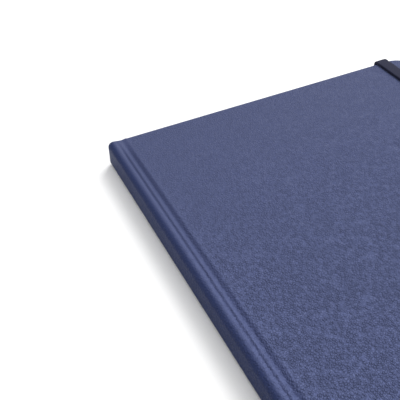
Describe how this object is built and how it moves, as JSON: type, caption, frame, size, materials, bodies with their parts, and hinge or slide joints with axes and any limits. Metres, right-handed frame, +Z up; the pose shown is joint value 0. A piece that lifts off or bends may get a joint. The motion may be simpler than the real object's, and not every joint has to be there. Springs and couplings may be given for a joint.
{
  "type": "pilot logbook",
  "caption": "Closed A5 case-bound logbook in grained leatherette with a grooved joint, rounded fore-edge corners and an elastic closure band; it opens flat at the middle.",
  "frame": {"origin": "centre of the bounding box's base, on the surface that the closed book lies on", "axes": "+X from the spine to the fore edge, +Y from the tail to the head, +Z up out of the front cover"},
  "size_m": [0.148, 0.2122, 0.0115],
  "materials": {
    "leatherette": "navy pebble-grained leatherette, satin",
    "greyboard": "raw grey-brown bookbinding board",
    "endpaper": "plain ivory endpaper, matte",
    "page_paper": "ivory writing paper, matte",
    "elastic": "woven dark navy elastic, matte",
    "binding_cloth": "open-weave cotton gauze",
    "headband": "navy twill band"
  },
  "bodies": {
    "back_cover": {"back_board": "greyboard", "back_cover_leather": "leatherette", "back_pastedown": "endpaper", "back_flyleaf": "endpaper", "page_section_4": "page_paper", "page_section_5": "page_paper", "page_section_6": "page_paper", "back_joint_leather": "leatherette", "mull_gauze": "binding_cloth", "spine_lining_paper": "endpaper", "head_band": "headband", "tail_band": "headband", "elastic_end_head": "elastic", "elastic_end_tail": "elastic"},
    "spine": {"spine_board": "greyboard", "spine_leather": "leatherette", "front_joint_leather": "leatherette"},
    "front_cover": {"front_board": "greyboard", "front_cover_leather": "leatherette", "front_pastedown": "endpaper"},
    "front_leaves": {"front_flyleaf": "endpaper", "page_section_1": "page_paper", "page_section_2": "page_paper", "page_section_3": "page_paper"},
    "closure_band": {"elastic_band": "elastic"}
  },
  "joints": [
    {"name": "leaves_turn", "type": "hinge", "parent": "back_cover", "child": "front_leaves", "pos_m": [-0.07091, 0, 0.0052], "axis": [0, -1, 0], "range_deg": [0, 180], "deforming": ["mull_gauze", "spine_lining_paper", "head_band", "tail_band"]},
    {"name": "spine_turn", "type": "hinge", "parent": "back_cover", "child": "spine", "pos_m": [-0.0712, 0, 0.0028], "axis": [0, -1, 0], "range_deg": [0, 90], "deforming": ["back_joint_leather"]},
    {"name": "cover_turn", "type": "hinge", "parent": "spine", "child": "front_cover", "pos_m": [-0.0712, 0, 0.0076], "axis": [0, -1, 0], "range_deg": [0, 90], "deforming": ["front_joint_leather"]},
    {"name": "band_pull", "type": "slide", "parent": "back_cover", "child": "closure_band", "axis": [1, 0, 0], "range_m": [0, 0.02], "stiffness_N_per_m": 100, "deforming": ["elastic_band"]}
  ],
  "couplings": [
    {"joint": "spine_turn", "follows": "leaves_turn", "ratio": 0.5},
    {"joint": "cover_turn", "follows": "leaves_turn", "ratio": 0.5}
  ]
}
